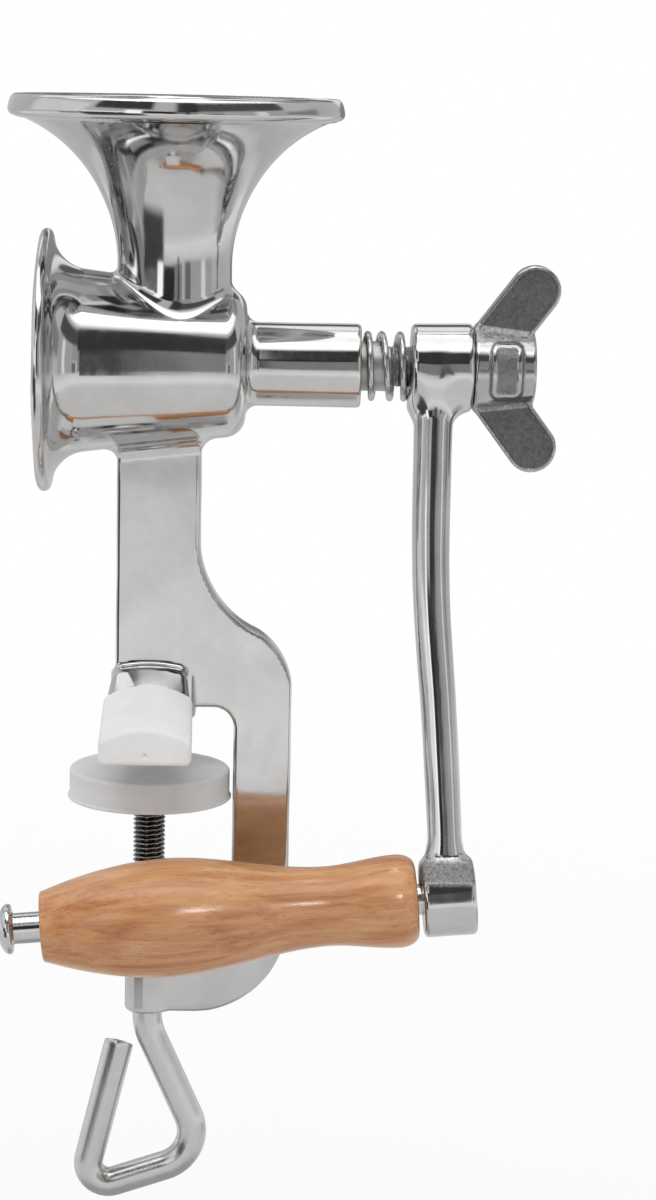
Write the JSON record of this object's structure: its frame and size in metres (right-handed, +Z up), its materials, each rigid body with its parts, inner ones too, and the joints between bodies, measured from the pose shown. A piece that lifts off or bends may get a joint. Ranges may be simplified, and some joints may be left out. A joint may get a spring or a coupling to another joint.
{
  "type": "manual coffee grinder",
  "caption": "Clamp-on hand mill with a trumpet hopper, conical burrs on a cranked spindle, a wing nut and spring for the setting, a wooden grip and a screw clamp for a table edge.",
  "frame": {"origin": "on the clamp screw's axis, in the plane of the two jaw boots' soles, where the mill meets the top of the table", "axes": "+X along the spindle from the burr flange to the wing nut, +Y from the front of the mill to its back, +Z up along the clamp screw"},
  "size_m": [0.1161, 0.0819, 0.24],
  "materials": {
    "polished_steel": "mirror-polished stainless casting",
    "burr_steel": "as-machined tool steel",
    "bronze": "turned bronze",
    "white_silicone": "matt white moulded silicone",
    "frosted_silicone": "frosted translucent silicone",
    "dark_steel": "unpolished turned steel",
    "plain_steel": "turned steel",
    "spring_steel": "drawn spring wire",
    "plated_steel": "bright plated",
    "cast_steel": "sand-cast grey wings with ground edges",
    "beech": "lacquered beech",
    "rod_steel": "satin drawn rod"
  },
  "bodies": {
    "frame": {"body_casting": "polished_steel", "fixed_burr": "burr_steel", "rear_bush": "bronze", "thrust_washer": "bronze", "front_boot": "white_silicone", "rear_boot": "white_silicone"},
    "spindle": {"spindle": "dark_steel", "feed_auger": "burr_steel", "rotor_burr": "burr_steel", "burr_washer": "plain_steel", "burr_screw": "plain_steel", "crank_spring": "spring_steel"},
    "crank": {"crank_arm": "polished_steel", "grip_pin": "plated_steel"},
    "wing_nut": {"wing_nut": "cast_steel"},
    "grip": {"grip": "beech"},
    "clamp_foot": {"swivel_plate": "plain_steel", "clamp_pad": "frosted_silicone"},
    "clamp_screw": {"clamp_screw": "rod_steel", "swivel_clip": "dark_steel"}
  },
  "joints": [
    {"name": "crank_turn", "type": "hinge", "parent": "frame", "child": "spindle", "pos_m": [0, 0, 0.08], "axis": [-1, 0, 0], "range_deg": [0, 325]},
    {"name": "crank_adjust", "type": "slide", "parent": "spindle", "child": "crank", "axis": [1, 0, 0], "range_m": [-0.004, 0.003], "deforming": ["crank_spring"]},
    {"name": "nut_turn", "type": "hinge", "parent": "crank", "child": "wing_nut", "pos_m": [0.0735, 0, 0.08], "axis": [1, 0, 0], "range_deg": [-960, 720]},
    {"name": "grip_spin", "type": "hinge", "parent": "crank", "child": "grip", "pos_m": [0.063, -0.0331, -0.02627], "axis": [-0.9962, -0.0259, -0.0832], "continuous": true},
    {"name": "clamp_lift", "type": "slide", "parent": "frame", "child": "clamp_foot", "axis": [0, 0, 1], "range_m": [-0.034, 0]},
    {"name": "clamp_screw_turn", "type": "hinge", "parent": "clamp_foot", "child": "clamp_screw", "pos_m": [0, 0, -0.03], "axis": [0, 0, 1], "range_deg": [-12240, 0]}
  ],
  "couplings": [
    {"joint": "nut_turn", "follows": "crank_adjust", "rad_per_m": 4188.8},
    {"joint": "clamp_screw_turn", "follows": "clamp_lift", "rad_per_m": 6283.2}
  ]
}
